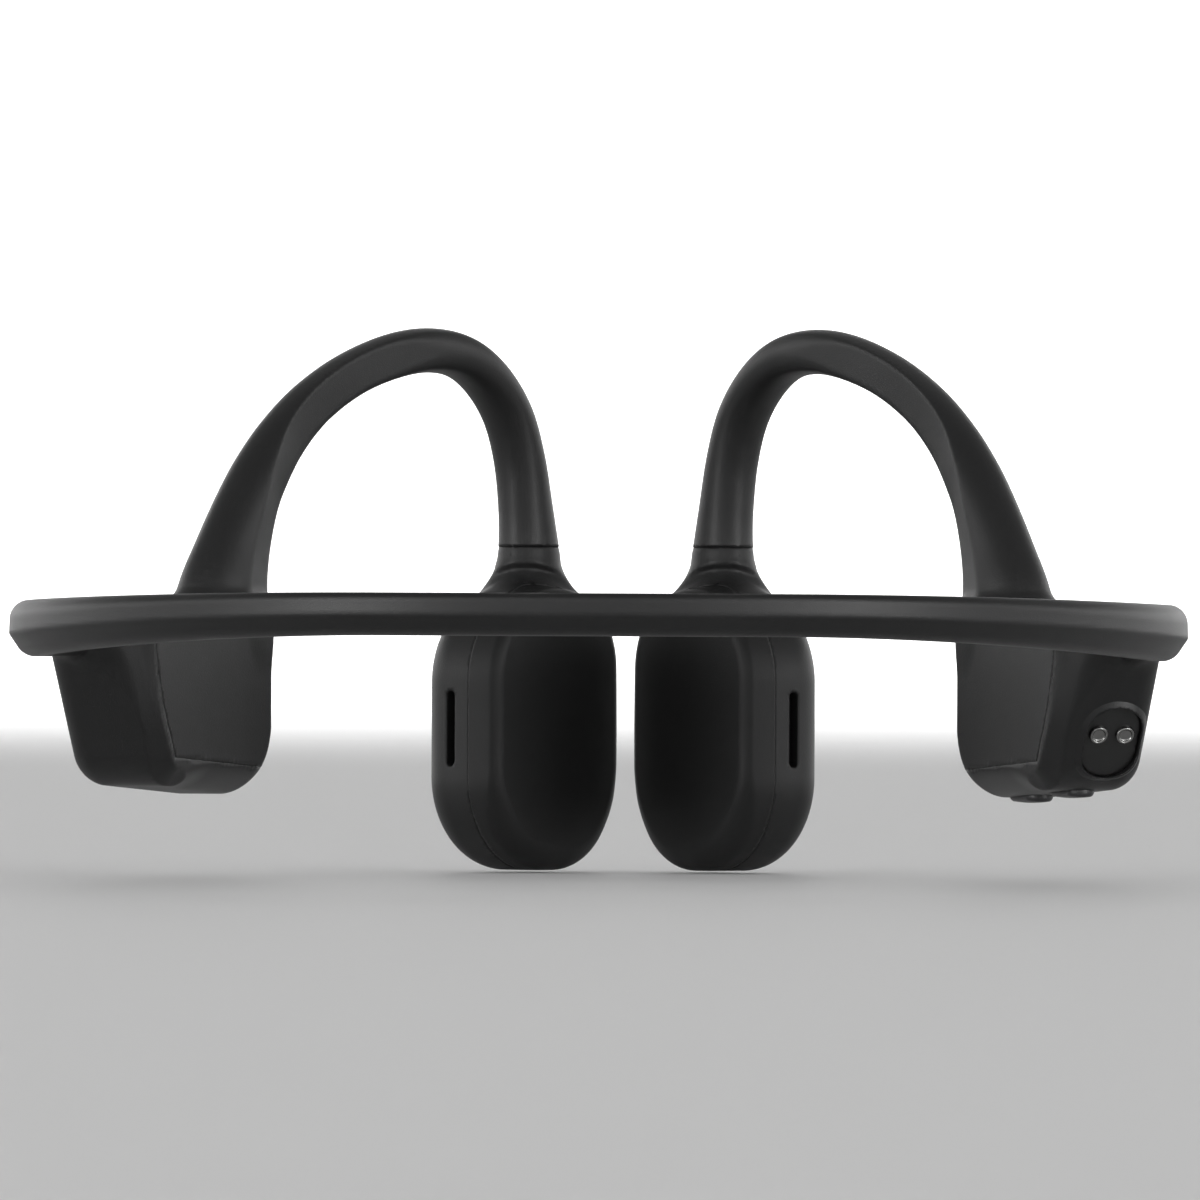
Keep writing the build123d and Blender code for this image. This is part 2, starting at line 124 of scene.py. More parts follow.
def both(a, b, radius=0.0):
    """Intersection of two shapes, with their common edge rounded."""
    a, b = a + radius, b + radius
    return np.minimum(np.maximum(a, b), 0) + np.hypot(np.maximum(a, 0), np.maximum(b, 0)) - radius


def less(a, b, radius=0.0):
    """The first shape with the second cut out of it, and the rim rounded."""
    return both(a, -b, radius)


def joined(a, b, width):
    """Union of two shapes that flow into each other over a width."""
    share = np.clip(0.5 + 0.5 * (b - a) / width, 0, 1)
    return b + (a - b) * share - width * share * (1 - share)


def directions(heading):
    """Forward and outward directions of a left-hand arm."""
    return np.array((sin(heading), cos(heading), 0)), np.array((-cos(heading), sin(heading), 0))


def local(points, origin, heading):
    """Points in an arm's own frame: forward, outward, up."""
    forward, outward = directions(heading)
    away = points - origin
    return away @ forward, away @ outward, points[:, 2]


pod_forward, pod_outward = directions(POD_HEADING)
band_end = np.array((-BAND_RADIUS * sin(BAND_END), BAND_CENTRE_Y - BAND_RADIUS * cos(BAND_END), 0))
POD_ORIGIN = band_end - pod_outward * (POD_HALF - BAND_HALF - POD_PROUD)
HOOK_ORIGIN = POD_ORIGIN + pod_forward * HOOK_BASE_X + pod_outward * HOOK_BASE_Y
HOOK_HEADING = pi / 2 - np.arctan2(pad_normal[0], -pad_normal[1])
hook_forward, hook_outward = directions(HOOK_HEADING)
PAD_ORIGIN = (PAD_FACE + hook_outward * PAD_HALF) * (1, 1, 0)


def along_band(values, angle):
    return values[0] + (values[1] - values[0]) * step(np.abs(angle), *TAPER)


def band_angle(points):
    """Angle round the neckband from its rear middle, positive on the left."""
    return np.arctan2(-points[:, 0], BAND_CENTRE_Y - points[:, 1])


def band(points):
    x, y, z = points[:, 0], points[:, 1] - BAND_CENTRE_Y, points[:, 2]
    angle = band_angle(points)
    out = np.hypot(x, y) - BAND_RADIUS
    bottom, crease, top = (along_band(values, angle) for values in (BAND_BOTTOM, BAND_CREASE, BAND_TOP))
    lean = 0.12 * np.clip((crease + 1.6 - z) / 1.6, -1, 1) * step(np.abs(angle), *TAPER)
    face = both(out - BAND_HALF - lean / 2, z - top, 0.55 + 1.0 * step(np.abs(angle), *TAPER))
    undercut = (out - BAND_HALF) * cos(UNDERCUT) + (crease - z) * sin(UNDERCUT)
    shape = both(face, undercut, 0.1)
    shape = both(shape, bottom - z, 0.7)
    shape = both(shape, -out - BAND_HALF, 1.1)
    return np.maximum(shape, np.maximum((angle - BAND_END) * BAND_RADIUS - 3, -angle * BAND_RADIUS - 2))


def pod_floor(x):
    """Height of the pod's bottom, which sinks towards its front."""
    sink = (POD_BOTTOM[0] - POD_BOTTOM[1]) / (POD_LENGTH - SLOPE_RUN)
    return POD_BOTTOM[0] - (x - SLOPE_RUN) * sink


def pod_rim(x, z):
    """The pod's rear and bottom, rounded into each other, with how far the chamfer on the head side reaches
    over them and over the head side, and how much of it is left: it runs out towards the front."""
    slope = (-x * SLOPE_DROP - (z - SLOPE_TOP) * SLOPE_RUN) / np.hypot(SLOPE_DROP, SLOPE_RUN)
    rim = both(both(slope, -x - 1.3, 0.6), pod_floor(x) - z, 2.4)
    reach = 1.22 + 0.074 * np.clip(z - 12, 0, 8) ** 1.57 + 0.5 * step(x, 3.5, 7)
    return rim, reach, 0.95 * reach, 1 - step(x, 6, 16)


def pod(points):
    x, y, z = local(points, POD_ORIGIN, POD_HEADING)
    rim, reach, inset, share = pod_rim(x, z)
    inner, outer = -y - POD_HALF, y - POD_HALF
    profile = both(both(rim, x - POD_LENGTH, 4.2), z - POD_TOP, 1.4)
    shape = both(both(profile, outer, 2.0), inner, 0.6 + 2.8 * (1 - share) * (1 - step(z, 7, 12.5)))
    reach, inset = reach * share + 0.01, inset * share + 0.01
    chamfer = (rim * reach + inner * inset + reach * inset) / np.hypot(reach, inset)
    return both(shape, chamfer, 0.05 + 0.9 * step(z, 12, 19))


# Stations along a hook, in its own frame: x, z, half its height in the hook's plane, half its thickness,
# where on its head side a crease parts its round back from a flat strip (0 in the middle, 1 at its outer
# edge), and by how many degrees that strip turns away from the hook's plane.
HOOK = np.array([
    (-1.2, 14.5, 2.6, 2.4, 0.12, 19),
    (0.9, 19.5, 4.8, 3.6, 0.12, 19),
    (0.9, 23.0, 4.65, 3.5, 0.12, 19),
    (2.2, 27.2, 3.65, 3.0, 0.16, 20),
    (4.25, 31.5, 2.83, 2.75, 0.28, 22),
    (6.2, 34.4, 2.47, 2.6, 0.5, 16),
    (8.8, 37.2, 2.2, 2.5, 0.75, 9),
    (12.4, 40.0, 1.98, 2.45, 0.85, 4),
    (17.2, 42.45, 1.88, 2.45, 0.86, 0),
    (22.6, 44.08, 1.93, 2.45, 0.8, 0),
    (27.4, 44.68, 1.92, 2.5, 0.65, 0),
    (31.7, 44.15, 1.9, 2.5, 0.45, 0),
    (35.2, 42.3, 1.9, 2.45, 0.25, 0),
    (38.0, 39.3, 1.95, 2.4, 0.1, 0),
    (39.6, 35.5, 2.08, 2.35, 0, 0),
    (40.5, 31.0, 2.4, 2.36, 0, 0),
    (40.9, 27.6, 2.78, 2.55, 0, 0),
    (40.9, 26.0, 3.05, 2.85, 0, 0),
    (40.9, 24.6, 3.8, 3.5, 0, 0),
    (40.9, 23.0, 5.2, 4.0, 0, 0),
])


SPAN_PIECES = 8


def smooth_line(stations, pieces=SPAN_PIECES):
    """Catmull-Rom curve through the stations."""
    ends = np.vstack((2 * stations[0] - stations[1], stations, 2 * stations[-1] - stations[-2]))
    share = np.linspace(0, 1, pieces, endpoint=False)[:, None]
    spans = []
    for a, b, c, d in zip(ends, ends[1:], ends[2:], ends[3:]):
        second = 2 * a - 5 * b + 4 * c - d
        third = 3 * b - a - 3 * c + d
        spans.append(b + share * ((c - a) + share * (second + share * third)) / 2)
    return np.vstack(spans + [stations[-1:]])


HOOK_LINE = smooth_line(HOOK)


def hook(points):
    """The nearest place on the hook's line gives its size there. Far points get a rough distance."""
    far_distance, points_at_once = 4.0, 40000
    x, y, z = local(points, HOOK_ORIGIN, HOOK_HEADING)
    near = (x > -9) & (z > 9) & (np.abs(y) < 10)
    everywhere = np.full(len(points), far_distance)
    x, y, z = x[near], y[near], z[near]
    shape = np.empty(len(x))
    starts, runs = HOOK_LINE[:-1], np.diff(HOOK_LINE, axis=0)
    run_lengths = np.hypot(runs[:, 0], runs[:, 1])
    for low in range(0, len(x), points_at_once):
        part = slice(low, low + points_at_once)
        from_x, from_z = x[part, None] - starts[:, 0], z[part, None] - starts[:, 1]
        share = np.clip((from_x * runs[:, 0] + from_z * runs[:, 1]) / run_lengths ** 2, 0, 1)
        gap = np.hypot(from_x - share * runs[:, 0], from_z - share * runs[:, 1])
        nearest = gap.argmin(axis=1)
        rows = np.arange(len(nearest))
        share = share[rows, nearest]
        place = starts[nearest] + runs[nearest] * share[:, None]
        along = runs[nearest, :2] / run_lengths[nearest, None]
        off_x, off_z = x[part] - place[:, 0], z[part] - place[:, 1]
        side = np.where(off_z * along[:, 0] > off_x * along[:, 1], 1, -1)
        across = side * gap[rows, nearest]
        run_on = off_x * along[:, 0] + off_z * along[:, 1]
        beyond = np.where(nearest == 0, -run_on, np.where(nearest == len(starts) - 1, run_on, -1))
        beyond = np.where(np.abs(run_on) > 1e-6, beyond, -1)
        height, thickness, crease, turn = place[:, 2], place[:, 3], place[:, 4], np.radians(place[:, 5])
        reach = np.hypot(across / height, y[part] / thickness)
        slope = np.hypot(across / height ** 2, y[part] / thickness ** 2)
        oval = reach * (reach - 1) / np.maximum(slope, 1e-6)
        oval = np.where(reach < 0.3, -0.7 * np.minimum(height, thickness), oval)
        from_crease = crease * height - across
        under_crease = -thickness * np.sqrt(1 - crease ** 2) - y[part]
        strip = from_crease * np.sin(turn) + under_crease * np.cos(turn) - 0.6 * step(x[part], 30, 38)
        rounding = 0.12 + np.maximum(0.7 * step(x[part], 18, 32), 0.2 * step(-across / height, 0.3, 0.9))
        shape[part] = np.maximum(both(oval, strip, rounding), beyond)
    everywhere[near] = shape
    return everywhere


def pad(points):
    x, y, z = local(points, PAD_ORIGIN, HOOK_HEADING)
    up = z - PAD_HEIGHT / 2
    corner = np.where(x < 0, PAD_REAR_CORNER, PAD_FRONT_CORNER)
    outline = both(np.abs(x) - PAD_HALF_LENGTH, np.abs(up) - PAD_HEIGHT / 2, corner)
    shape = both(outline, y - PAD_HALF, 3.3)
    crown = (x ** 2 + up ** 2 / 2) / 300
    return both(shape, -y - PAD_HALF + crown, 0.95 + 1.1 * step(-up, 3, 9))


def pill(a, b, length, width):
    """Flat round-ended outline."""
    return np.hypot(np.maximum(np.abs(a) - (length - width) / 2, 0), b) - width / 2


def arm(points):
    shape = joined(band(points), pod(points), 1.8)
    shape = np.maximum(shape, points[:, 2] - along_band(BAND_TOP, band_angle(points)))
    return joined(shape, hook(points), 1.4)


def cover_side(points):
    """Negative on the cover's side of the pod's parting line."""
    x, y, z = local(points, POD_ORIGIN, POD_HEADING)
    rim, _, inset, _ = pod_rim(x, z)
    return both(both(y - COVER_EDGE_Y, z - COVER_TOP, 0.6), rim + inset + COVER_MARGIN, 1.0)


def arm_skin(points):
    """The silicone skin. It ends at the seam round the transducer's neck."""
    x, _, z = local(points, HOOK_ORIGIN, HOOK_HEADING)
    skin = less(arm(points), cover_side(points) - SEAM)
    return np.maximum(skin, np.minimum(NECK_TOP - z, x - 32))


def pod_cover(points):
    return both(arm(points), cover_side(points) + SEAM)


def gasket(points):
    """Ring of soft rubber between the pod's two halves, just inside its wall."""
    _, y, _ = local(points, POD_ORIGIN, POD_HEADING)
    return np.maximum(np.abs(pod(points) + 0.9) - 0.4, np.abs(y - COVER_EDGE_Y) - 0.3)


# Openings in the right-hand pod.
VOLUME_KEYS = {"volume_up_button": 23.0, "volume_down_button": 12.0}
VOLUME_Y, KEY_LENGTH, KEY_WIDTH, KEY_GAP = 0.2, 6.4, 2.4, 0.12
KEY_FLANGE, KEY_CHAMBER = 1.0, 1.5  # how much wider than the key its flange and the flange's chamber are
KEY_PROUD, FLANGE_HALF = 0.55, 0.2
WELL_TOP, CHAMBER_Z, CHAMBER_HALF = 9.4, 9.0, 0.75
PORT_Y, PORT_Z, PORT_LENGTH, PORT_WIDTH = 0.98, 11.45, 7.1, 5.0
PORT_DEPTH, PORT_RISE, PORT_FLARE = 0.5, 0.36, radians(33)
PORT_BLOCK, PORT_GAP = 1.2, 0.02
PINS_UP, PINS_ASIDE = 0.63, 1.17  # from the port's middle
LIGHT_X, LIGHT_Z, LIGHT_RADIUS = 7.0, 20.0, 0.66
POD_MICROPHONE, MICROPHONE_RADIUS = (22.8, 12.1), 0.45


def port_axes():
    """The port's face centre and its directions in the pod's frame: down the slope and out of it."""
    down = np.array((SLOPE_RUN, 0, -SLOPE_DROP)) / np.hypot(SLOPE_DROP, SLOPE_RUN)
    out = np.array((-SLOPE_DROP, 0, -SLOPE_RUN)) / np.hypot(SLOPE_DROP, SLOPE_RUN)
    face = np.array((SLOPE_RUN * (SLOPE_TOP - PORT_Z) / SLOPE_DROP, PORT_Y, PORT_Z))
    return face, down, out


def at_port(points):
    """Points in the port's own frame: down the slope, across it, out of it."""
    x, y, z = local(points, POD_ORIGIN, POD_HEADING)
    face, down, out = port_axes()
    away = np.stack((x, y, z), axis=1) - face
    return away @ down, away[:, 1], away @ out


def port_block(points):
    a, b, height = at_port(points)
    outline = pill(a, b, PORT_LENGTH - 2 * PORT_GAP, PORT_WIDTH - 2 * PORT_GAP)
    return np.maximum(outline, np.abs(height + PORT_DEPTH + PORT_BLOCK / 2) - PORT_BLOCK / 2)


def port_rim(points):
    """Raised lip round the port, with a sloping outer flank."""
    a, b, height = at_port(points)
    outline, above = pill(a, b, PORT_LENGTH, PORT_WIDTH), pod(points)
    flank = outline * sin(PORT_FLARE) + (above - PORT_RISE) * cos(PORT_FLARE)
    return np.maximum(both(flank, -outline, 0.12), np.maximum(-above - 0.6, -height - 2.5))


def right_arm_skin(points):
    x, y, z = local(points, POD_ORIGIN, POD_HEADING)
    shape = arm_skin(points)
    a, b, height = at_port(points)
    outline = pill(a, b, PORT_LENGTH, PORT_WIDTH)
    shape = less(shape, np.maximum(outline - 0.12, -height - PORT_DEPTH - PORT_BLOCK))
    for key_x in VOLUME_KEYS.values():
        well = pill(x - key_x, y - VOLUME_Y, KEY_LENGTH + 2 * KEY_GAP, KEY_WIDTH + 2 * KEY_GAP)
        shape = less(shape, np.maximum(well, z - WELL_TOP))
        chamber = pill(x - key_x, y - VOLUME_Y, KEY_LENGTH + KEY_CHAMBER, KEY_WIDTH + KEY_CHAMBER)
        shape = less(shape, np.maximum(chamber, np.abs(z - CHAMBER_Z) - CHAMBER_HALF))
    light = np.maximum(np.hypot(x - LIGHT_X, z - LIGHT_Z) - LIGHT_RADIUS, 3.4 - y)
    microphone = np.hypot(x - POD_MICROPHONE[0], z - POD_MICROPHONE[1]) - MICROPHONE_RADIUS
    return less(less(shape, light), np.maximum(microphone, 3.0 - y))


# Transducers.
SLOT_Y, SLOT_Z, SLOT_LENGTH, SLOT_WIDTH = 0.78, 12.2, 6.5, 1.0
FUNCTION_LENGTH, FUNCTION_WIDTH = 11.0, 6.6
CHEEK_MICROPHONE = 4.0, 4.4
NECK_CENTRE_Y = (PAD_ORIGIN + hook_forward * NECK_X + hook_outward * NECK_Y)[1]


def collar(points):
    """Height above the tilted plane where the neck ends in a lip, highest at its rear."""
    return (points[:, 2] - 26.5 + 0.5 * (points[:, 1] - NECK_CENTRE_Y + 2.9)) * 0.89


def front(points):
    """Neck and pad in one, with a soft fold under the neck's lip that fades out at its sides."""
    below = -collar(points)
    fold = step(below, -0.15, 0.35) * (1 - step(below, 0.5, 3.0))
    behind = step(NECK_CENTRE_Y - points[:, 1], 0.2, 2.2)
    return joined(hook(points), pad(points), 1.6) + 0.45 * fold * behind


def cap_side(points):
    """Negative on the contact cap's side of the transducer's seam."""
    _, y, _ = local(points, PAD_ORIGIN, HOOK_HEADING)
    return both(y - CAP_EDGE_Y, collar(points) + 2.0, 0.8)


def housing(points):
    x, y, z = local(points, PAD_ORIGIN, HOOK_HEADING)
    shape = np.maximum(front(points) + 0.05 * step(z, NECK_TOP - 0.5, NECK_TOP), z - NECK_TOP)
    shape = less(shape, cap_side(points) - SEAM)
    slot = np.maximum(pill(z - SLOT_Z, y - SLOT_Y, SLOT_LENGTH, SLOT_WIDTH), x + 7.0)
    return less(shape, slot, 0.1)


def left_housing(points):
    x, y, z = local(points, PAD_ORIGIN, HOOK_HEADING)
    length, width = FUNCTION_LENGTH + 2 * KEY_GAP, FUNCTION_WIDTH + 2 * KEY_GAP
    well = np.maximum(pill(z - MOTOR_Z, x, length, width), 2.4 - y)
    chamber = pill(z - MOTOR_Z, x, length + KEY_CHAMBER, width + KEY_CHAMBER)
    chamber = np.maximum(chamber, np.abs(y - 2.9) - 0.6)
    return less(less(housing(points), well), chamber)


def right_housing(points):
    x, y, z = local(points, PAD_ORIGIN, HOOK_HEADING)
    hole = np.hypot(x - CHEEK_MICROPHONE[0], z - CHEEK_MICROPHONE[1]) - MICROPHONE_RADIUS
    return less(housing(points), np.maximum(hole, 3.2 - y))


def contact_cap(points):
    return both(front(points), cap_side(points) + SEAM)


# Keys.
def function_key(points):
    x, y, z = local(points, PAD_ORIGIN, HOOK_HEADING)
    outline = pill(z - MOTOR_Z, x, FUNCTION_LENGTH, FUNCTION_WIDTH)
    crown = ((z - MOTOR_Z) ** 2 / 5.5 ** 2 + x ** 2 / 3.3 ** 2) * 0.22
    shape = both(outline, y - PAD_HALF - KEY_PROUD + crown, 0.45)
    dimple = np.sqrt(x ** 2 + (z - MOTOR_Z) ** 2 + (y - PAD_HALF - 2.2) ** 2) - 1.85
    shape = less(shape, dimple, 0.2)
    shape = both(shape, 3.0 - y, 0.1)
    flange = pill(z - MOTOR_Z, x, FUNCTION_LENGTH + KEY_FLANGE, FUNCTION_WIDTH + KEY_FLANGE)
    return np.minimum(shape, np.maximum(flange, np.abs(y - 3.18) - FLANGE_HALF))


def volume_key(key_x, plus):
    """Distance function of one volume key, with a bar or a cross sunk in its face."""
    floor = pod_floor(key_x)

    def shape_of(points):
        x, y, z = local(points, POD_ORIGIN, POD_HEADING)
        outline = pill(x - key_x, y - VOLUME_Y, KEY_LENGTH, KEY_WIDTH)
        crown = ((x - key_x) ** 2 / 3.2 ** 2 + (y - VOLUME_Y) ** 2 / 1.2 ** 2) * 0.12
        face = floor - KEY_PROUD + crown - z
        shape = both(outline, face, 0.35)
        mark = pill(x - key_x, y - VOLUME_Y, 1.3, 0.28)
        if plus:
            mark = np.minimum(mark, pill(y - VOLUME_Y, x - key_x, 1.3, 0.28))
        shape = less(shape, np.maximum(mark, -face - 0.12))
        shape = both(shape, z - floor - 1.3, 0.1)
        flange = pill(x - key_x, y - VOLUME_Y, KEY_LENGTH + KEY_FLANGE, KEY_WIDTH + KEY_FLANGE)
        return np.minimum(shape, np.maximum(flange, np.abs(z - floor - 1.32) - FLANGE_HALF))

    return shape_of


# Meshes ------------------------------------------------------------------------------------------


def near_cells(distance, low, cell, counts):
    """Whole-number places of the grid's cells that the surface may cross, found from coarse to fine."""
    size = 8
    grids = [np.arange(0, count, size) for count in counts]
    places = np.stack(np.meshgrid(*grids, indexing="ij"), axis=-1).reshape(-1, 3)
    halves = np.array([(i, j, k) for i in (0, 1) for j in (0, 1) for k in (0, 1)])
    while True:
        middles = low + (places + size / 2) * cell
        places = places[np.abs(distance(middles)) < size * cell * 1.1 + 0.1]
        if size == 1:
            return places
        size //= 2
        places = (places[:, None] + halves * size).reshape(-1, 3)


def gradient(distance, points, nudge=0.004):
    """Direction in which the distance grows."""
    slope = np.empty_like(points)
    for i in range(3):
        aside = np.zeros(3)
        aside[i] = nudge
        slope[:, i] = distance(points + aside) - distance(points - aside)
    return slope / np.maximum(np.linalg.norm(slope, axis=1), 1e-9)[:, None]


def surface(distance, low, high, cell):
    """Quads over the surface where the distance is zero. Each grid cell that the surface crosses has one
    corner of the mesh. It is the point that lies best on all the planes that touch the surface where it
    crosses the cell's edges, which keeps creases sharp."""
    counts = np.ceil((high - low) / cell / 8).astype(int) * 8 + 1
    strides = np.array(((counts[1] + 2) * (counts[2] + 2), counts[2] + 2, 1))
    places = near_cells(distance, low, cell, counts)
    corners = np.array([(i, j, k) for i in (0, 1) for j in (0, 1) for k in (0, 1)])
    codes = (places[:, None] + corners) @ strides
    known, where = np.unique(codes, return_inverse=True)
    points = np.stack((known // strides[0], known % strides[0] // strides[1], known % strides[1]), axis=1)
    values = distance(low + points * cell)[where.reshape(codes.shape)]
    crossed = (values < 0).any(axis=1) & (values >= 0).any(axis=1)
    places, values = places[crossed], values[crossed]
    order = np.argsort(places @ strides)
    places, values = places[order], values[order]
    codes = places @ strides
    normals = np.zeros((len(places), 3, 3))
    reach, total, count = np.zeros((len(places), 3)), np.zeros((len(places), 3)), np.zeros(len(places))
    quads = []
    for axis in range(3):
        second, third = (axis + 1) % 3, (axis + 2) % 3
        far = (4, 2, 1)[axis]
        cut = (values[:, 0] < 0) != (values[:, far] < 0)
        near_value, far_value = values[cut, 0], values[cut, far]
        step_along = np.zeros(3)
        step_along[axis] = cell
        share = near_value / (near_value - far_value)
        hit = low + places[cut] * cell + share[:, None] * step_along
        share = np.clip(share + distance(hit) / (near_value - far_value), 0, 1)
        hit = low + places[cut] * cell + share[:, None] * step_along
        normal = gradient(distance, hit)
        around = [codes[cut], codes[cut] - strides[second]]
        around += [around[1] - strides[third], codes[cut] - strides[third]]
        quad = np.stack([np.searchsorted(codes, code) for code in around], axis=1)
        for cell_number in quad.T:
            np.add.at(normals, cell_number, normal[:, :, None] * normal[:, None, :])
            np.add.at(reach, cell_number, normal * (normal * hit).sum(axis=1)[:, None])
            np.add.at(total, cell_number, hit)
            np.add.at(count, cell_number, 1)
        flipped = near_value >= 0
        quad[flipped] = quad[flipped][:, ::-1]
        quads.append(quad)
    middle = total / count[:, None]
    pull = 0.03
    matrix = normals + pull * np.eye(3)
    goal = reach + pull * middle
    vertices = np.linalg.solve(matrix, goal[:, :, None])[:, :, 0]
    cell_low = low + places * cell
    vertices = np.clip(vertices, cell_low - 0.2 * cell, cell_low + 1.2 * cell)
    return vertices, np.vstack(quads)


def new_piece(name, vertices, faces, mirrored=False):
    """Object from an array in millimetres and a list of faces, mirrored to the right-hand side if asked."""
    if mirrored:
        vertices = vertices * (-1, 1, 1)
        faces = [face[::-1] for face in faces]
    mesh = bpy.data.meshes.new(name)
    mesh.from_pydata((vertices * MM).tolist(), [], faces)
    mesh.shade_smooth()
    piece = bpy.data.objects.new(name, mesh)
    bpy.context.collection.objects.link(piece)
    return piece


def solid(name, distance, low, high, mirrored=False, cell=CELL):
    low, high = np.array(low, float), np.array(high, float)
    vertices, quads = surface(distance, low, high, cell)
    return new_piece(name, vertices, quads.tolist(), mirrored)


def close_at_middle(piece):
    """Cuts an arm's skin flat at the neckband's rear middle, where the other arm's skin meets it."""
    shape = bmesh.new()
    shape.from_mesh(piece.data)
    side = -1 if sum(v.co.x for v in shape.verts) > 0 else 1
    everything = shape.verts[:] + shape.edges[:] + shape.faces[:]
    middle, outwards = (0, 0, 0), (side, 0, 0)
    bmesh.ops.bisect_plane(shape, geom=everything, plane_co=middle, plane_no=outwards, clear_outer=True)
    rim = [edge for edge in shape.edges if edge.is_boundary]
    for edge in rim:
        edge.smooth = False
    bmesh.ops.contextual_create(shape, geom=rim)
    shape.to_mesh(piece.data)
    shape.free()


def tube(name, line, radius, mirrored=False, sides=14):
    """Round rod along a line of points, with flat ends."""
    line = np.array(line, float)
    along = np.gradient(line, axis=0)
    along /= np.linalg.norm(along, axis=1)[:, None]
    across = np.cross(along, (0, 0, 1.0))
    across /= np.linalg.norm(across, axis=1)[:, None]
    up = np.cross(across, along)
    turns = np.linspace(0, 2 * pi, sides, endpoint=False)
    ring = np.cos(turns)[:, None, None] * across + np.sin(turns)[:, None, None] * up
    vertices = (line + radius * ring).transpose(1, 0, 2).reshape(-1, 3)
    faces = []
    for i in range(len(line) - 1):
        for j in range(sides):
            k = (j + 1) % sides
            faces.append((i * sides + j, i * sides + k, (i + 1) * sides + k, (i + 1) * sides + j))
    piece = new_piece(name, vertices, faces, mirrored)
    shape = bmesh.new()
    shape.from_mesh(piece.data)
    bmesh.ops.holes_fill(shape, edges=shape.edges, sides=0)
    bmesh.ops.recalc_face_normals(shape, faces=shape.faces)
    shape.to_mesh(piece.data)
    shape.free()
    return piece


def lathe(name, profile, centre, axis, sides=40, mirrored=False):
    """Solid of revolution from (radius, height) points, standing on a centre along an axis."""
    vertices = []
    for radius, height in profile[1:-1]:
        turn = np.linspace(0, 2 * pi, sides, endpoint=False)
        vertices += [(radius * cos(angle), radius * sin(angle), height) for angle in turn]
    rows = len(profile) - 2
    faces = []
    for i in range(rows - 1):
        for j in range(sides):
            k = (j + 1) % sides
            faces.append((i * sides + j, i * sides + k, (i + 1) * sides + k, (i + 1) * sides + j))
    bottom, top = len(vertices), len(vertices) + 1
    vertices += [(0, 0, profile[0][1]), (0, 0, profile[-1][1])]
    last_row = (rows - 1) * sides
    for j in range(sides):
        k = (j + 1) % sides
        faces.append((bottom, k, j))
        faces.append((top, last_row + j, last_row + k))
    turn = Vector(axis).to_track_quat("Z", "Y").to_matrix()
    placed = np.array(vertices) @ np.array(turn).T + np.array(centre)
    return new_piece(name, placed, faces, mirrored)


# Materials ---------------------------------------------------------------------------------------


def material(name, colour, roughness, grain=0.0, grain_size=0.12, spread=0.1, metallic=0.0, coat=0.0,
             specular=0.5):
    """Moulded or metal surface: fine grain in the normal, slow changes in colour and roughness."""
    made = bpy.data.materials.new(name)
    made.use_nodes = True
    nodes, links = made.node_tree.nodes, made.node_tree.links
    shader = nodes["Principled BSDF"]
    shader.inputs["Metallic"].default_value = metallic
    shader.inputs["Specular IOR Level"].default_value = specular
    shader.inputs["Coat Weight"].default_value = coat
    place = nodes.new("ShaderNodeTexCoord").outputs["Object"]
    slow = nodes.new("ShaderNodeTexNoise")
    slow.inputs["Scale"].default_value = 90
    slow.inputs["Detail"].default_value = 5
    links.new(place, slow.inputs["Vector"])
    fine = nodes.new("ShaderNodeTexNoise")
    fine.inputs["Scale"].default_value = 1 / (grain_size * MM)
    fine.inputs["Detail"].default_value = 3
    links.new(place, fine.inputs["Vector"])
    tint = nodes.new("ShaderNodeMix")
    tint.data_type = "RGBA"
    tint.inputs["A"].default_value = (*[c * (1 - spread) for c in colour], 1)
    tint.inputs["B"].default_value = (*[min(1, c * (1 + spread)) for c in colour], 1)
    links.new(slow.outputs["Fac"], tint.inputs["Factor"])
    links.new(tint.outputs["Result"], shader.inputs["Base Color"])
    rough = nodes.new("ShaderNodeMapRange")
    rough.inputs["To Min"].default_value = roughness - 0.05
    rough.inputs["To Max"].default_value = roughness + 0.05
    links.new(slow.outputs["Fac"], rough.inputs["Value"])
    links.new(rough.outputs["Result"], shader.inputs["Roughness"])
    if grain:
        bump = nodes.new("ShaderNodeBump")
        bump.inputs["Strength"].default_value = grain
        bump.inputs["Distance"].default_value = grain_size * MM * 0.5
        links.new(fine.outputs["Fac"], bump.inputs["Height"])
        links.new(bump.outputs["Normal"], shader.inputs["Normal"])
    return made


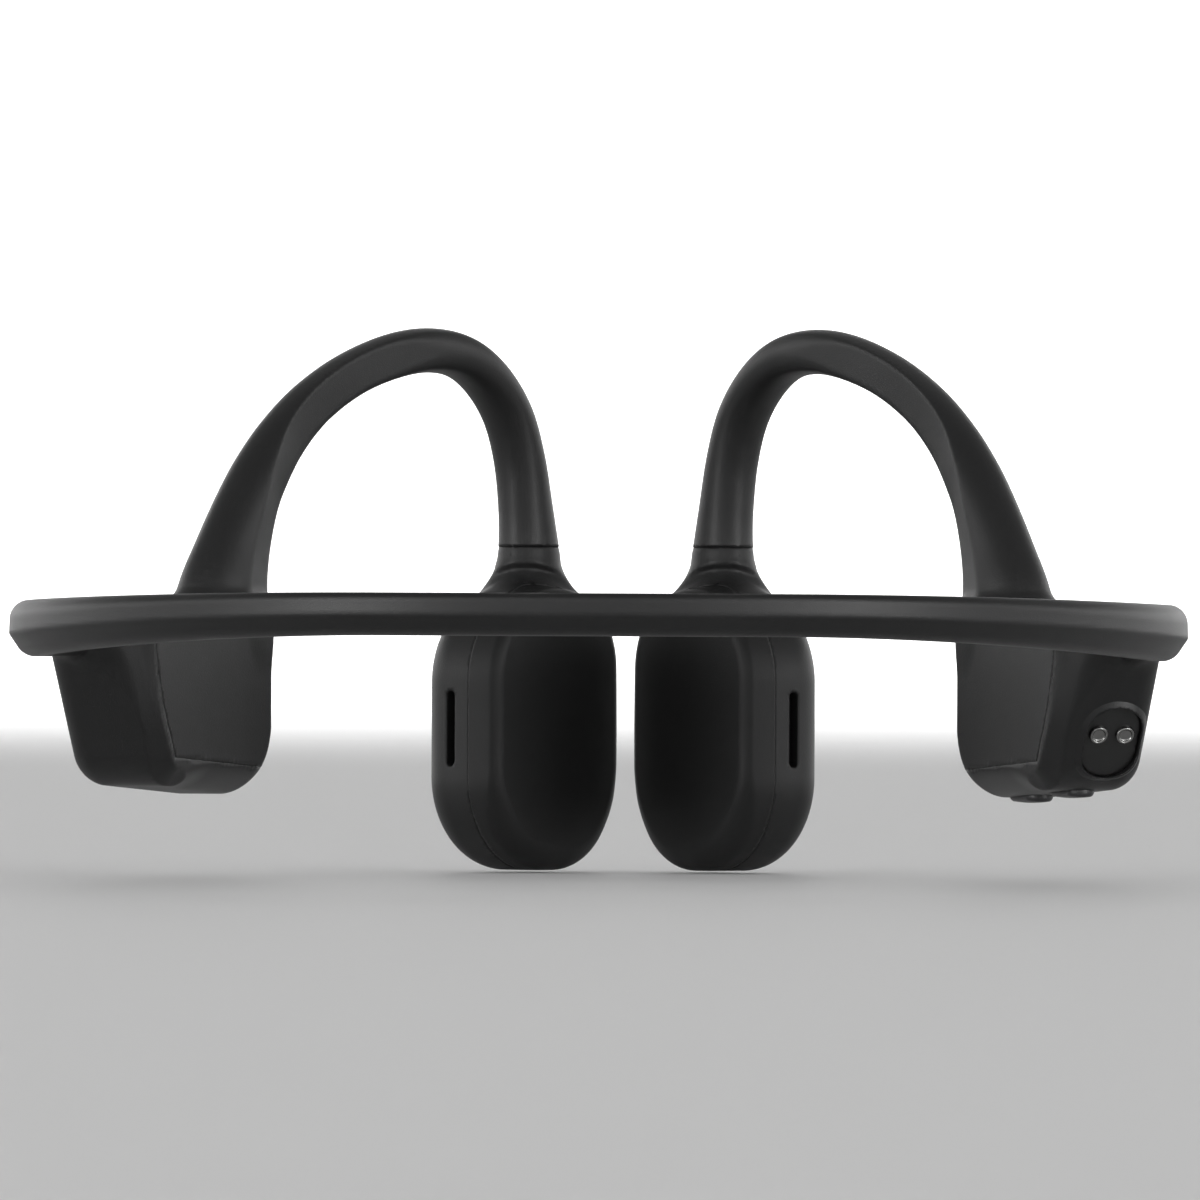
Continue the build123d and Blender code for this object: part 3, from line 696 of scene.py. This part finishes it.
MATERIALS = {
    "soft_skin": dict(colour=(0.0055, 0.0055, 0.0057), roughness=0.44, grain=0.25, spread=0.12, specular=0.4),
    "shell": dict(colour=(0.01, 0.01, 0.0102), roughness=0.45, grain=0.2, grain_size=0.16, specular=0.33),
    "contact_skin": dict(colour=(0.009, 0.009, 0.0092), roughness=0.48, grain=0.18, specular=0.3),
    "key": dict(colour=(0.018, 0.018, 0.019), roughness=0.42, grain=0.15, specular=0.45),
    "seal": dict(colour=(0.03, 0.03, 0.03), roughness=0.6, grain=0.2),
    "cable_jacket": dict(colour=(0.02, 0.02, 0.02), roughness=0.45, grain=0.1),
    "spring_wire": dict(colour=(0.45, 0.43, 0.41), roughness=0.32, metallic=1, grain=0.1, grain_size=0.3),
    "battery": dict(colour=(0.62, 0.63, 0.65), roughness=0.38, metallic=0.9, grain=0.3, grain_size=1.2),
    "circuit_board": dict(colour=(0.01, 0.10, 0.045), roughness=0.35, coat=0.4, grain=0.2, grain_size=0.5),
    "shield": dict(colour=(0.6, 0.6, 0.6), roughness=0.3, metallic=1, grain=0.1, grain_size=0.4),
    "switch": dict(colour=(0.05, 0.05, 0.05), roughness=0.4, grain=0.1),
    "copper": dict(colour=(0.72, 0.30, 0.14), roughness=0.28, metallic=1, coat=0.3, grain=0.3,
                   grain_size=0.2),
    "magnet": dict(colour=(0.6, 0.6, 0.62), roughness=0.18, metallic=1),
    "steel": dict(colour=(0.5, 0.5, 0.51), roughness=0.35, metallic=1, grain=0.15, grain_size=0.3),
    "port_block": dict(colour=(0.008, 0.008, 0.008), roughness=0.28, grain=0.05),
    "pins": dict(colour=(0.22, 0.22, 0.215), roughness=0.26, metallic=1, spread=0.15, grain=0.12,
                 grain_size=0.1),
    "mesh": dict(colour=(0.015, 0.015, 0.015), roughness=0.5, metallic=0.6, grain=0.8, grain_size=0.18),
    "light_pipe": dict(colour=(0.5, 0.52, 0.54), roughness=0.35, grain=0.1, coat=0.3),
}


def finish_piece(piece, slot, body, *replaced):
    piece.data.materials.clear()
    piece.data.materials.append(LOOKS[slot])
    if body:
        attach(piece, body)
    if replaced:
        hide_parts(*replaced)


def dress_cad_nodes():
    """Gives every node its own slot's material."""
    slots = {part["node"]: part["material_slot"] for part in frame["record"]["subparts"]}
    for node, piece in frame["nodes"].items():
        for slot in piece.material_slots:
            slot.material = LOOKS[slots[node]]


# The object --------------------------------------------------------------------------------------


def bend(piece, side):
    """Bakes a piece of the neckband's placement into its mesh; the piece stays rigid."""
    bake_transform(piece)


def band_line(z):
    """The middle line of the neckband's wire or cable, running on into the pod."""
    angles = np.linspace(0, BAND_END, 60)
    arc = [(-BAND_RADIUS * sin(a), BAND_CENTRE_Y - BAND_RADIUS * cos(a), z) for a in angles]
    return arc + [tuple(band_end + pod_forward * run + (0, 0, z)) for run in (0.8, 1.7, 2.6)]


def hook_line(y):
    """A line inside the hook, set off from its plane towards the outer side."""
    foot = HOOK_ORIGIN + hook_outward * y
    inside = HOOK_LINE[3 * SPAN_PIECES // 2:-2 * SPAN_PIECES, :2]
    return [foot + hook_forward * x + (0, 0, z) for x, z in inside]


def make_arm(side):
    mirrored = side == "right"
    low = np.array((-52.0, BAND_CENTRE_Y - BAND_OUTER - 1.5, 4.0))
    high = np.array((2.0, 64.0, 48.0))
    skin = solid(side + "_arm_skin", right_arm_skin if mirrored else arm_skin, low, high, mirrored)
    close_at_middle(skin)
    replaced = [f"neckband_sleeve_{side}", f"{side}_pod_tub", f"{side}_ear_hook"]
    if side == "left":
        replaced.append("neckband_sleeve_centre")
    finish_piece(skin, "soft_skin", None, *replaced)
    bend(skin, side)
    cover = solid(side + "_pod_cover_skin", pod_cover, (-46, -6, 4), (-24, 33, 24), mirrored)
    finish_piece(cover, "shell", side + "_arm", side + "_pod_cover")
    ring = solid(side + "_gasket_ring", gasket, (-46, -6, 4), (-24, 32, 24), mirrored)
    finish_piece(ring, "seal", side + "_arm", side + "_pod_gasket")
    for part, z, slot in (("wire", 22.3, "spring_wire"), ("cable", 21.0, "cable_jacket")):
        rod = tube(f"{side}_band_{part}", band_line(z), 0.45, mirrored)
        replaced = [f"neckband_{part}_{side}"] + ([f"neckband_{part}_centre"] if side == "left" else [])
        finish_piece(rod, slot, None, *replaced)
        bend(rod, side)
    for part, y, slot in (("wire", -0.3, "spring_wire"), ("cable", 1.1, "cable_jacket")):
        rod = tube(f"{side}_inner_hook_{part}", hook_line(y), 0.45, mirrored)
        finish_piece(rod, slot, side + "_arm", f"{side}_hook_{part}")


def make_transducer(side):
    mirrored = side == "right"
    low, high = np.array((-20.0, 43.0, -1.0)), np.array((0.5, 66.0, 29.0))
    cell = CELL * 0.75
    shape = right_housing if mirrored else left_housing
    made = solid(side + "_housing_skin", shape, low, high, mirrored, cell)
    finish_piece(made, "shell", side + "_arm", side + "_transducer_housing")
    cap = solid(side + "_cap_skin", contact_cap, low, high, mirrored, cell)
    finish_piece(cap, "contact_skin", side + "_arm", side + "_contact_cap")


def make_keys():
    centre = PAD_ORIGIN + (0, 0, MOTOR_Z)
    reach = np.array((8.0, 8.0, 8.0))
    key = solid("function_key_skin", function_key, centre - reach, centre + reach, False, CELL * 0.6)
    finish_piece(key, "key", "function_button", "function_button")
    for node, key_x in VOLUME_KEYS.items():
        centre = POD_ORIGIN + pod_forward * key_x + pod_outward * VOLUME_Y + (0, 0, 8)
        reach = np.array((4.5, 4.5, 2.5))
        shape = volume_key(key_x, node == "volume_up_button")
        key = solid(node + "_skin", shape, centre - reach, centre + reach, True, CELL * 0.4)
        finish_piece(key, "key", node, node)


def make_port():
    """Charging port: a dark block, the lip round it, and two plated contacts, each with a rolled rim round a
    shallow dish."""
    face, down, out = port_axes()
    centre = POD_ORIGIN + pod_forward * face[0] + pod_outward * face[1] + (0, 0, face[2])
    block = solid("charging_block_skin", port_block, centre - 5, centre + 5, True, CELL * 0.5)
    finish_piece(block, "port_block", "right_arm", "charging_block")
    rim = solid("port_rim", port_rim, centre - 5, centre + 5, True, CELL * 0.5)
    finish_piece(rim, "soft_skin", "right_arm")
    profile = [(0, -2.4), (0.78, -2.4), (0.82, -0.2), (0.82, 0.2), (0.80, 0.3), (0.74, 0.37), (0.67, 0.39),
               (0.60, 0.36), (0.55, 0.28), (0.50, 0.2), (0.4, 0.18), (0.2, 0.21), (0, 0.22)]
    for number, side in enumerate((-1, 1), 1):
        foot = face - out * PORT_DEPTH - down * PINS_UP + np.array((0, side * PINS_ASIDE, 0))
        world = POD_ORIGIN + pod_forward * foot[0] + pod_outward * foot[1] + (0, 0, foot[2])
        axis = pod_forward * out[0] + (0, 0, out[2])
        pin = lathe(f"charging_pin_{number}", profile, world, axis, mirrored=True)
        finish_piece(pin, "pins", "right_arm", "charging_pins")


# Floor, light and camera -------------------------------------------------------------------------


def ring_sheet(name, profile, sides=96, filled=False):
    """Round sheet from (radius, height) points, with its middle filled if asked."""
    turns = np.linspace(0, 2 * pi, sides, endpoint=False)
    vertices = [(out * cos(turn), out * sin(turn), up) for out, up in profile for turn in turns]
    faces = []
    for i in range(len(profile) - 1):
        for j in range(sides):
            k = (j + 1) % sides
            faces.append((i * sides + j, (i + 1) * sides + j, (i + 1) * sides + k, i * sides + k))
    if filled:
        faces.append(tuple(range(sides)))
    mesh = bpy.data.meshes.new(name)
    mesh.from_pydata(vertices, [], faces)
    mesh.shade_smooth()
    sheet = bpy.data.objects.new(name, mesh)
    sheet.location.z = cad_low[2] - 0.0002
    bpy.context.collection.objects.link(sheet)
    return sheet


def make_studio():
    """Pale round floor inside a white wall that glows softly, and a dimmer sky above it."""
    radius, bend, top = 8.0, 1.0, 3.4
    floor = ring_sheet("floor", [(0.3, 0), (1.5, 0), (4.0, 0), (radius, 0)], filled=True)
    pale = material("floor", (0.68, 0.68, 0.68), 0.6, spread=0.01, specular=0.3)
    nodes, links = pale.node_tree.nodes, pale.node_tree.links
    out = nodes.new("ShaderNodeVectorMath")
    out.operation = "LENGTH"
    links.new(nodes["Texture Coordinate"].outputs["Object"], out.inputs[0])
    fade = nodes.new("ShaderNodeMapRange")
    fade.interpolation_type = "SMOOTHSTEP"
    fade.inputs["From Min"].default_value, fade.inputs["From Max"].default_value = 1.2, 3.3
    links.new(out.outputs["Value"], fade.inputs["Value"])
    shader = nodes["Principled BSDF"]
    shader.inputs["Emission Color"].default_value = (1, 1, 1, 1)
    links.new(fade.outputs["Result"], shader.inputs["Emission Strength"])
    floor.data.materials.append(pale)
    turns = np.linspace(0, pi / 2, 10)
    curve = [(radius + bend * sin(turn), bend * (1 - cos(turn))) for turn in turns]
    wall = ring_sheet("wall", curve + [(radius + bend, top)])
    glow = material("wall", (0.8, 0.8, 0.8), 0.9, spread=0.01, specular=0.1)
    shader = glow.node_tree.nodes["Principled BSDF"]
    shader.inputs["Emission Color"].default_value = (1, 1, 1, 1)
    shader.inputs["Emission Strength"].default_value = 1.0
    wall.data.materials.append(glow)
    world = bpy.data.worlds.new("studio")
    world.use_nodes = True
    world.node_tree.nodes["Background"].inputs["Color"].default_value = (1, 1, 1, 1)
    world.node_tree.nodes["Background"].inputs["Strength"].default_value = 0.36
    bpy.context.scene.world = world


def area_light(name, place, size, power, target=(0, 0, 0.022)):
    lamp = bpy.data.lights.new(name, "AREA")
    lamp.shape = "RECTANGLE"
    lamp.size, lamp.size_y = size
    lamp.energy = power
    light = bpy.data.objects.new(name, lamp)
    light.location = place
    light.rotation_euler = (Vector(target) - Vector(place)).to_track_quat("-Z", "Y").to_euler()
    bpy.context.collection.objects.link(light)


def make_lights():
    area_light("left_softbox", (-1.75, -1.45, 0.16), (0.7, 0.3), 15)
    area_light("right_softbox", (1.75, -1.45, 0.16), (0.7, 0.3), 15)


CAMERA_DISTANCE, CAMERA_LENS = 1.9, 685
CAMERA_YAW, CAMERA_ROLL = radians(1.85), radians(0.25)
CAMERA_TARGET = 0.0001, BAND_CENTRE_Y * MM, 0.0233


def make_camera():
    """Level with the neckband, far behind it."""
    forward = Vector((-sin(CAMERA_YAW), cos(CAMERA_YAW), 0))
    across = Vector((cos(CAMERA_YAW), sin(CAMERA_YAW), 0))
    target = Vector(CAMERA_TARGET)
    data = bpy.data.cameras.new("camera")
    data.sensor_width, data.lens = 36, CAMERA_LENS
    data.clip_start, data.clip_end = 0.1, 20
    camera = bpy.data.objects.new("camera", data)
    facing = Matrix((across, Vector((0, 0, 1)), -forward)).transposed()
    turned = Matrix.Rotation(CAMERA_ROLL, 3, -forward) @ facing
    camera.matrix_world = Matrix.Translation(target - forward * CAMERA_DISTANCE) @ turned.to_4x4()
    bpy.context.collection.objects.link(camera)
    bpy.context.scene.camera = camera


LOOKS = {name: material(name, **look) for name, look in MATERIALS.items()}
dress_cad_nodes()
make_arm("left")
make_arm("right")
make_transducer("left")
make_transducer("right")
make_keys()
make_port()
make_studio()
make_lights()
make_camera()
bpy.context.scene.view_settings.view_transform = "Standard"
